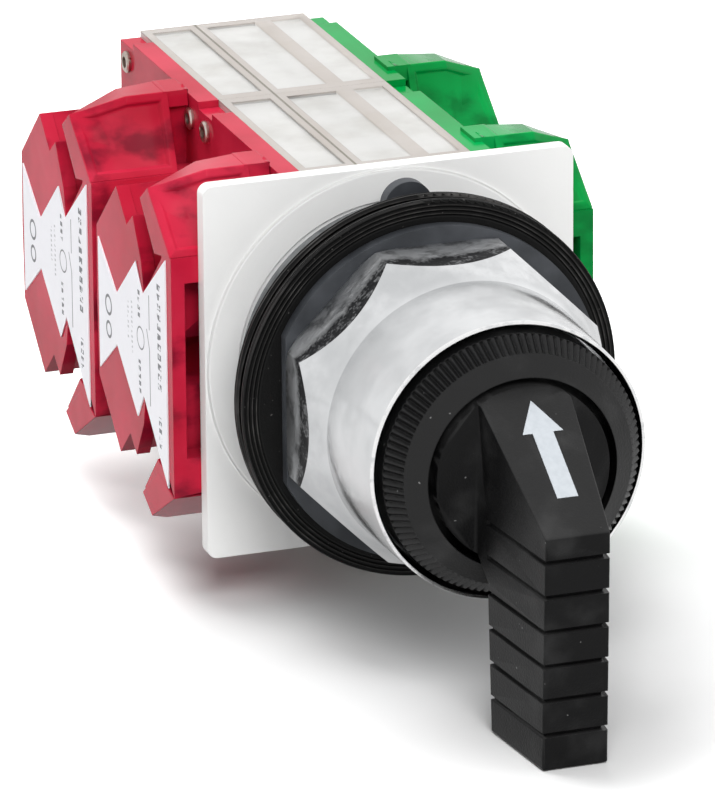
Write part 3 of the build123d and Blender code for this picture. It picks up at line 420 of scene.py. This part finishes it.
black_nylon("knob_nylon", 0.15, 0.09).cover("knob")
black_nylon("ring_nylon", 0.36, 0.0).cover("knob_retaining_ring")
lever_front = -0.0463
lever_front_lean = 0.9 / 26.97
groove_count = 6
groove_top = -0.0041
groove_pitch = 0.00403
groove_width = 0.0006
groove_cut = 0.00105
cutter_length = 0.014
grooved_knob = own_copy("knob", "grooved_knob")
deselect_all()
bpy.ops.mesh.primitive_cube_add(size=1.0, location=(0, lever_front, groove_top))
groove_cutter = bpy.context.object
groove_cutter.scale = (cutter_length, 2 * groove_cut, groove_width)
bpy.ops.object.transform_apply(location=True, rotation=True, scale=True)
apply_modifier(
    groove_cutter,
    "ARRAY",
    count=groove_count,
    use_relative_offset=False,
    use_constant_offset=True,
    constant_offset_displace=(0, lever_front_lean * groove_pitch, -groove_pitch),
)
cut_away(grooved_knob, groove_cutter)
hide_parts("knob")
finish_piece(grooved_knob, "knob")

# Knob arrow: an arrow moulded in white plastic and pressed into the knob's slope.
# Its skin is finely flecked.
arrow_white = Finish("arrow_white", Roughness=0.45)
fleck = arrow_white.noise(1500.0, 3.0)
arrow_white.feed(
    Base_Color=arrow_white.blend(fleck.between(0.3, 0.8), (0.47, 0.5, 0.53), (0.42, 0.45, 0.48)),
)
arrow_white.relief(fleck, 0.00002, 0.0001)
arrow_white.cover("knob_arrow")


# Contact block housings: each slab with its slotted arm is one moulding in tinted polycarbonate,
# red on the left and green on the right. It lets some light in, and shows the metal inside as dark
# clouds, mostly where its face is turned to the front. Where its face is turned down it has
# painted shade.
def tinted_housing(name, clearness, ior, deep, light, dark_clouds_and_shade):
    made = Finish(
        name, Transmission_Weight=clearness, IOR=ior, Roughness=0.12, Specular_IOR_Level=0.3
    )
    facing_x, facing_y, facing_z = made.facing()
    front = (-facing_y).between(0.3, 0.6)
    under = (-facing_z).between(0.25, 0.6)
    flow = made.noise(120.0, 4.0)
    sink = made.noise(60.0, 3.0)
    inside = made.noise(150.0, 5.0, (1.0, 1.0, 1.7)).between(0.45, 0.66)
    tint = made.blend(sink.between(0.3, 0.75), deep, light)
    made.feed(
        # Painted shade darkens the faces turned down.
        Base_Color=made.blend(((0.1 + 0.75 * front) * inside).higher(0.8 * under), tint, dark_clouds_and_shade),
        Roughness=0.1 + 0.16 * flow.between(0.35, 0.8),
    )
    made.relief(flow, 0.00008, 0.00015)
    return made


block_fronts = (0.0155, 0.045)
block_pitch = 0.0295
row_shifts = {"front": -block_pitch, "rear": 0.0}
red_housing = tinted_housing(
    "red_housing", 0.12, 1.24, (0.45, 0.006, 0.028), (0.64, 0.03, 0.072), (0.17, 0.006, 0.02)
)
green_housing = tinted_housing(
    "green_housing", 0.1, 1.25, (0.0, 0.26, 0.045), (0.002, 0.36, 0.08), (0.0, 0.16, 0.03)
)
for row in row_shifts:
    red_housing.cover(f"terminal_housing_left_{row}")
    green_housing.cover(f"terminal_housing_right_{row}")

# Arms of the housings: a thick plate leans back over each wire slot, moulded with the housing.
# The upper ones have a raised border round a thinner window and a strip along the slab, and the
# lower ones are plain. Each is modelled once, on the rear left block, and copied.
arm_back = 0.073
# A section is its place along X and its corners from the lower rear one round by the front,
# each as its distance ahead of the arm's back edge and its height.
arm_sections = {
    1: (
        (-0.02553, (0.0221, 0.0125), (0.0279, 0.0136), (0.0199, 0.0196), (0.0170, 0.0175)),
        (-0.01980, (0.0208, 0.0112), (0.0279, 0.0136), (0.0238, 0.0223), (0.0198, 0.0221)),
        (-0.01480, (0.0199, 0.0100), (0.0279, 0.0136), (0.0242, 0.02245), (0.0195, 0.02245)),
    ),
    -1: (
        (-0.02553, (0.0220, 0.0138), (0.0279, 0.0152), (0.0195, 0.0202), (0.0160, 0.0184)),
        (-0.02370, (0.0216, 0.0134), (0.0279, 0.0152), (0.0193, 0.0207), (0.0158, 0.0190)),
        (-0.01340, (0.0205, 0.0125), (0.0279, 0.0152), (0.0193, 0.0207), (0.0158, 0.0190)),
    ),
}
strip_corners = ((0.0195, 0.0212), (0.0245, 0.0206), (0.0242, 0.02245), (0.0195, 0.02245))
strip_sections = tuple((place, *strip_corners) for place in (-0.0153, -0.0140, -0.0124))
border_width = 0.0009
window_edge = 0.0003
window_depth = 0.0005
arm_rounding = 0.00016
level_names = {1: "upper", -1: "lower"}


def halved_cube():
    """A cube with a ring of edges round its middle, so that X has three sections."""
    deselect_all()
    bpy.ops.mesh.primitive_cube_add(size=2.0)
    bpy.ops.object.mode_set(mode="EDIT")
    bpy.ops.mesh.bisect(plane_co=(0, 0, 0), plane_no=(1, 0, 0))
    bpy.ops.object.mode_set(mode="OBJECT")
    return bpy.context.object


def arm_bar(sections):
    """A bar through the corners of three sections, with its front faces selected."""
    bar = halved_cube()
    for face in bar.data.polygons:
        face.select = face.normal.y < -0.9
    for corner in bar.data.vertices:
        place, *ends = sections[round(corner.co.x) + 1]
        front, top = corner.co.y < 0, corner.co.z > 0
        ahead, height = ends[2 + (not front) if top else int(front)]
        corner.co = (place, arm_back - ahead, height)
    return bar


def arm_plate(sections, windowed):
    arm = arm_bar(sections)
    if windowed:
        bpy.ops.object.mode_set(mode="EDIT")
        bpy.ops.mesh.select_mode(type="FACE")
        bpy.ops.mesh.inset(thickness=border_width, depth=0.0)
        bpy.ops.mesh.inset(thickness=window_edge, depth=-window_depth)
        bpy.ops.object.mode_set(mode="OBJECT")
    sharpest = math.radians(34)
    apply_modifier(
        arm, "BEVEL", width=arm_rounding, segments=2, limit_method="ANGLE", angle_limit=sharpest
    )
    return arm


arms = {level: arm_plate(sections, level > 0) for level, sections in arm_sections.items()}
strip = arm_bar(strip_sections)
select_only(arms[1])
strip.select_set(True)
bpy.ops.object.join()
for side, side_name, housing in ((1, "left", red_housing), (-1, "right", green_housing)):
    for row, shift in row_shifts.items():
        for level, level_name in level_names.items():
            plate = arms[level].copy()
            plate.data = arms[level].data.copy()
            plate.name = f"arm_{side_name}_{row}_{level_name}"
            mirror = Matrix.Diagonal((side, 1, level, 1))
            plate.data.transform(Matrix.Translation((0, shift, 0)) @ mirror)
            if side * level < 0:
                plate.data.flip_normals()
            plate.data.materials.append(housing.material)
            bpy.context.scene.collection.objects.link(plate)
            finish_piece(plate, "body")
for arm in arms.values():
    bpy.data.objects.remove(arm)

# Lower ends of the housings: below, the arms end in a straight edge, lower at the front post and
# higher at the slab than the upper ones. Each housing is cut back to that, and its post
# lengthened. The cut's edge is given by its places along Y and its heights.
slab_faces = {"left": -0.0124, "right": 0.0134}
cut_edge = ((0.0425, -0.01335), (0.0537, -0.01995), (0.0730, -0.01995))
cut_reach = 0.03
cut_bottom = -0.04
post_depth = 0.0003
post_end = (-0.0139, -0.0130)
post_drop = 0.0016
housing_crease = 6
for side_name, slab_face in slab_faces.items():
    for row, shift in row_shifts.items():
        node = f"terminal_housing_{side_name}_{row}"
        cut_housing = own_copy(node, f"cut_housing_{side_name}_{row}")
        for corner in cut_housing.data.vertices:
            outside = abs(corner.co.x) > abs(slab_face)
            on_post = corner.co.y < block_fronts[1] + shift + post_depth
            if outside and on_post and post_end[0] < corner.co.z < post_end[1]:
                corner.co.z -= post_drop
        end_cutter = halved_cube()
        end_cutter.data.transform(Matrix.Rotation(math.pi / 2, 4, "Z"))
        for corner in end_cutter.data.vertices:
            place, height = cut_edge[round(corner.co.y) + 1]
            outer = corner.co.x * slab_face > 0
            corner.co = (
                math.copysign(cut_reach, slab_face) if outer else slab_face,
                place + shift,
                height if corner.co.z > 0 else cut_bottom,
            )
        cut_away(cut_housing, end_cutter)
        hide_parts(node)
        finish_piece(cut_housing, "body", housing_crease)

# Clear cases: the switch chambers are moulded in clear polycarbonate, so that the contacts can be
# seen. Thin windows lie between thick ribs, and the right cases have one rib in their middle.
rib_height = (0.0217, 0.0219)
seam_place = -0.003
seam_width = (0.0001, 0.00022)
clear_case = Finish("clear_case", Transmission_Weight=0.35, IOR=1.35, Roughness=0.16)
x, y, z = clear_case.axes()
haze = clear_case.noise(160.0, 4.0)
ripple = clear_case.noise(60.0, 2.0)
ribs = abs(z).between(*rib_height)
seam = 1.0 - abs(x - seam_place).between(*seam_width)
pane = clear_case.blend(haze.between(0.35, 0.75), (0.75, 0.745, 0.73), (0.63, 0.62, 0.59))
pane = clear_case.blend(ribs * (0.4 + 0.5 * ripple), pane, (0.5, 0.43, 0.38))
clear_case.feed(
    Base_Color=clear_case.blend(0.85 * seam, pane, (0.2, 0.18, 0.13)),
    Roughness=0.08 + 0.2 * haze.between(0.4, 0.8),
)
clear_case.relief(haze + 2.0 * ripple, 0.0001, 0.00015)
middle_rib = (0.0025, 0.0047)
middle_rib_foot = 0.01
middle_rib_shift = 0.0015
for row in row_shifts:
    clear_case.cover(f"clear_case_left_{row}", f"clear_case_right_{row}")
    case = own_copy(f"clear_case_right_{row}", f"ribbed_case_right_{row}")
    for corner in case.data.vertices:
        in_rib = middle_rib[0] < corner.co.x < middle_rib[1]
        if in_rib and abs(corner.co.z) > middle_rib_foot:
            corner.co.x += middle_rib_shift
    case.data.update()
    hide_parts(f"clear_case_right_{row}")
    finish_piece(case, "body")

# Case rivets: tubular brass rivets, tinned, pushed through slab and case and rolled over at the
# head, so that each shows a bright ring round a dark middle. Each roll has a rise and a growth,
# and takes the rivet's far end along, which stays hidden in the case.
rivet_radius = 0.00095
rivet_sides = 32
rivet_ends = {-1: (-0.0123, -0.0039), 1: (0.0133, 0.004)}
rivet_depths = (0.0028, 0.0267)
rivet_heights = (0.0192, -0.0192)
rivet_rolls = ((0, 1.37), (0.0003, 1.0), (0.00018, 0.86), (0, 0.62), (-0.0009, 0.9))
rivet_rounding = 0.00005
rivet_tin = Finish("rivet_tin", Metallic=1.0, Roughness=0.3)
wear = rivet_tin.noise(900.0, 4.0)
rivet_tin.feed(
    Base_Color=rivet_tin.blend(wear.between(0.35, 0.7), (0.62, 0.55, 0.5), (0.4, 0.33, 0.28)),
    Roughness=0.22 + 0.25 * wear,
)
rivet_tin.relief(wear, 0.00003)


def tubular_rivet(side, rivet_y, rivet_z):
    head_x, end_x = rivet_ends[side]
    deselect_all()
    bpy.ops.mesh.primitive_cylinder_add(
        vertices=rivet_sides,
        radius=rivet_radius,
        depth=abs(head_x - end_x),
        location=((head_x + end_x) / 2, rivet_y, rivet_z),
        rotation=(0, math.pi / 2, 0),
    )
    rivet = bpy.context.object
    bpy.ops.object.transform_apply(location=True, rotation=True)
    for face in rivet.data.polygons:
        face.select = face.normal.x * side > 0.9
    bpy.ops.object.mode_set(mode="EDIT")
    bpy.ops.mesh.select_mode(type="FACE")
    face_x = head_x
    for rise, growth in rivet_rolls:
        bpy.ops.mesh.extrude_region_move(TRANSFORM_OT_translate={"value": (side * rise, 0, 0)})
        face_x += side * rise
        bpy.ops.transform.resize(
            value=(1, growth, growth), center_override=(face_x, rivet_y, rivet_z)
        )
    bpy.ops.object.mode_set(mode="OBJECT")
    return rivet


rivet_pieces = [
    tubular_rivet(side, front + depth, height)
    for side in rivet_ends
    for front in block_fronts
    for depth in rivet_depths
    for height in rivet_heights
]
select_only(rivet_pieces[0])
for rivet in rivet_pieces:
    rivet.select_set(True)
bpy.ops.object.join()
rivets = bpy.context.object
rivets.name = "tubular_rivets"
rivets.data.materials.append(rivet_tin.material)
rivet_edge = math.radians(50)
apply_modifier(
    rivets, "BEVEL", width=rivet_rounding, segments=2, limit_method="ANGLE", angle_limit=rivet_edge
)
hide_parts("case_rivets")
finish_piece(rivets, "body")

# Labels: white film on the outer faces of the red arms, printed in black with plain marks: the
# sign of a contact, rings, and rows of dashes. Marks are placed by their distance behind the
# block's front and by their height.
ink_edge = 0.00004
label_film = Finish("label_film", Roughness=0.5)
x, y, z = label_film.axes()
across = (y - block_fronts[0]).wrapped(block_pitch)
fibre = label_film.noise(900.0, 3.0)
uneven = label_film.noise(1700.0, 1.0).between(0.4, 0.46)


def stroke(centre, width, low, high):
    """A printed line along Z."""
    line = 1.0 - abs(across - centre).between(width / 2 - ink_edge, width / 2 + ink_edge)
    line = line * (z - low).between(-ink_edge, ink_edge)
    return line * (1.0 - (z - high).between(-ink_edge, ink_edge))


def dashes(low, period, share):
    """1 on dashes that take up that share of each period, from a height upwards."""
    beat = (z - low).wrapped(period)
    return 1.0 - beat.between(share * period - ink_edge, share * period + ink_edge)


def ring(centre, height, radius, width):
    sideways, upwards = across - centre, z - height
    reach = (sideways * sideways + upwards * upwards).root()
    return 1.0 - abs(reach - radius).between(width / 2 - ink_edge, width / 2 + ink_edge)


slant = abs(across - 0.0079 - 0.45 * (z - 0.0002))
blade = (1.0 - slant.between(0.00007, 0.00015)) * (1.0 - abs(z - 0.0013).between(0.0011, 0.0012))
print_black = blade
for centre, low, high in ((0.0079, -0.0066, 0.0002), (0.0079, 0.0026, 0.0068)):
    print_black = print_black.higher(stroke(centre, 0.00022, low, high))
for centre, height, radius, width in (
    (0.0112, 0.0006, 0.0013, 0.0002),
    (0.0232, 0.0008, 0.0011, 0.00035),
    (0.0232, -0.0022, 0.0009, 0.00035),
):
    print_black = print_black.higher(ring(centre, height, radius, width))
for centre, width, low, high, period, share, strength in (
    (0.0043, 0.001, -0.0105, -0.0068, 0.0009, 0.6, 1.0),
    (0.0043, 0.0012, -0.0035, 0.0092, 0.0012, 0.62, 1.0),
    (0.0117, 0.0008, -0.0062, -0.0022, 0.0009, 0.6, 1.0),
    (0.0117, 0.0008, 0.003, 0.0066, 0.0009, 0.6, 1.0),
    (0.0144, 0.0005, -0.0022, 0.0044, 0.0006, 0.5, 0.5),
    (0.0158, 0.0005, -0.0008, 0.0038, 0.0006, 0.5, 0.5),
):
    row_of_dashes = stroke(centre, width, low, high) * dashes(low, period, share)
    print_black = print_black.higher(strength * uneven * row_of_dashes)
film_white = label_film.blend(fibre.between(0.3, 0.8), (0.83, 0.83, 0.87), (0.815, 0.815, 0.855))
label_film.feed(
    Base_Color=label_film.blend(0.85 * print_black, film_white, (0.03, 0.03, 0.04)),
)
label_film.relief(fibre, 0.000002)
label_post_end = -0.0125
for row in row_shifts:
    label_film.cover(f"label_{row}")
    film = own_copy(f"label_{row}", f"long_label_{row}")
    for corner in film.data.vertices:
        if corner.co.z < label_post_end:
            corner.co.z -= post_drop
    film.data.update()
    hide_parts(f"label_{row}")
    finish_piece(film, "body")


# Operator body: barrel, shoulder and drum in one zinc casting, with the thread cut in it.
# It is left as cast, dull and grey.
def plain_metal(name, dark, bright, roughness, scale):
    """Metal whose colour and shine vary a little from place to place."""
    made = Finish(name, Metallic=1.0, Roughness=roughness)
    tarnish = made.noise(scale, 4.0)
    made.feed(
        Base_Color=made.blend(tarnish.between(0.3, 0.75), bright, dark),
        Roughness=roughness + 0.2 * tarnish.between(0.3, 0.8),
    )
    made.relief(tarnish, 0.00003)
    return made


body_cast = plain_metal("body_cast", (0.16, 0.17, 0.18), (0.3, 0.31, 0.32), 0.45, 500.0)
body_cast.cover("operator_body")

# Straps and contact bridges: stamped from brass, with silver contacts brazed on. A bridge joins
# the upper and lower strap of its block.
brass = plain_metal("brass", (0.5, 0.38, 0.18), (0.78, 0.62, 0.34), 0.25, 260.0)
blocks = [f"{side_name}_{row}" for side_name in slab_faces for row in row_shifts]
for block in blocks:
    brass.cover(f"contact_bridge_{block}")
    for level_name in level_names.values():
        brass.cover(f"terminal_strap_{block}_{level_name}")

# Screws, clamps and push rods: cold headed from steel wire, or bent from steel strip for the
# clamps, and zinc plated.
plated_steel = plain_metal("plated_steel", (0.42, 0.43, 0.45), (0.7, 0.71, 0.72), 0.28, 420.0)
plated_steel.cover("base_plate_screws", "block_screws")
for side_name in slab_faces:
    for piece_name in ("push_rod", "terminal_screws", "terminal_clamps"):
        plated_steel.cover(f"{piece_name}_{side_name}")

# Springs: cold drawn wire, left with its grey drawn skin. One clicks in the rotor's dents, and
# one in each block returns its contact bridge.
spring_wire = plain_metal("spring_wire", (0.28, 0.29, 0.31), (0.5, 0.51, 0.53), 0.3, 800.0)
spring_wire.cover("detent_spring", *(f"return_spring_{block}" for block in blocks))

# Rotor, rod guide and plungers: moulded in natural acetal, which slides well. The rotor's ramps
# push the rods, and the rods push the plungers.
acetal = Finish("acetal", Roughness=0.4, IOR=1.48)
mottle = acetal.noise(300.0, 3.0)
acetal.feed(
    Base_Color=acetal.blend(mottle.between(0.3, 0.75), (0.72, 0.7, 0.64), (0.64, 0.62, 0.55)),
    Roughness=0.35 + 0.15 * mottle,
)
acetal.relief(mottle, 0.00003, 0.0001)
acetal.cover("cam_rotor", "rod_guide", *(f"plunger_{block}" for block in blocks))

# Table: a pale sheet that runs out of sight under the switch and keeps its soft shadow close to
# the switch. Its glow is painted light: for the rays that see it, it glows white from 36 to 60 mm
# round a point just ahead of the switch's middle, which fades the shadow out there, and more again
# far off, and mirrors show it an even white.
table_size = 6.0
table_gap = 0.0002
shadow_centre = (0.004, -0.008)
mirrored_white = 0.6
deselect_all()
bpy.ops.mesh.primitive_plane_add(size=table_size, location=(0, 0, cad_box[0].z - table_gap))
table = bpy.context.object
table.name = "table"
bpy.ops.object.transform_apply(location=True)
table_sheet = Finish("table_sheet", Roughness=0.9, Specular_IOR_Level=0.0)
paper = table_sheet.noise(40.0, 3.0)
table_sheet.feed(
    Base_Color=table_sheet.blend(paper.between(0.3, 0.7), (0.82, 0.82, 0.82), (0.8, 0.8, 0.8)),
)
x, y, z = table_sheet.axes()
side_reach = x - shadow_centre[0]
depth_reach = y - shadow_centre[1]
distance = (side_reach * side_reach + depth_reach * depth_reach).root()
# Painted light: the glow fades the shadow out from 36 to 60 mm round its centre, and whitens the
# far table.
painted_glow_strength = 0.45 * distance.between(0.036, 0.06) + 0.3 * distance.between(0.12, 0.6)
seen = table_sheet.rays("Camera", "Glossy", "Transmission")


def white_glow(strength):
    inputs = {"Color": (1, 1, 1, 1), "Strength": strength}
    return table_sheet.add("ShaderNodeEmission", inputs=inputs)


glow = table_sheet.add("ShaderNodeMixShader", inputs={0: seen * painted_glow_strength, 2: white_glow(1.0)})
paper_shader = Signal(table_sheet, table_sheet.shader.outputs[0])
lit = table_sheet.add("ShaderNodeAddShader", inputs={0: paper_shader, 1: glow})
mirrored = table_sheet.add(
    "ShaderNodeMixShader",
    inputs={0: 0.7 * table_sheet.rays("Glossy"), 1: lit, 2: white_glow(mirrored_white)},
)
output = table_sheet.tree.nodes["Material Output"]
table_sheet.tree.links.new(mirrored.socket, output.inputs["Surface"])
table.data.materials.append(table_sheet.material)

# Surroundings: white where they are seen, and a plain grey light on the switch. They fill in
# what the soft boxes leave dark.
fill_light = 0.31
world = bpy.data.worlds.new("surroundings")
bpy.context.scene.world = world
surroundings = NodeTree(world)
sky = surroundings.tree.nodes["Background"]
sky_seen = surroundings.rays("Camera", "Glossy", "Transmission")
sky_strength = fill_light + (1.0 - fill_light) * sky_seen
sky.inputs["Color"].default_value = (1, 1, 1, 1)
surroundings.tree.links.new(sky_strength.socket, sky.inputs["Strength"])
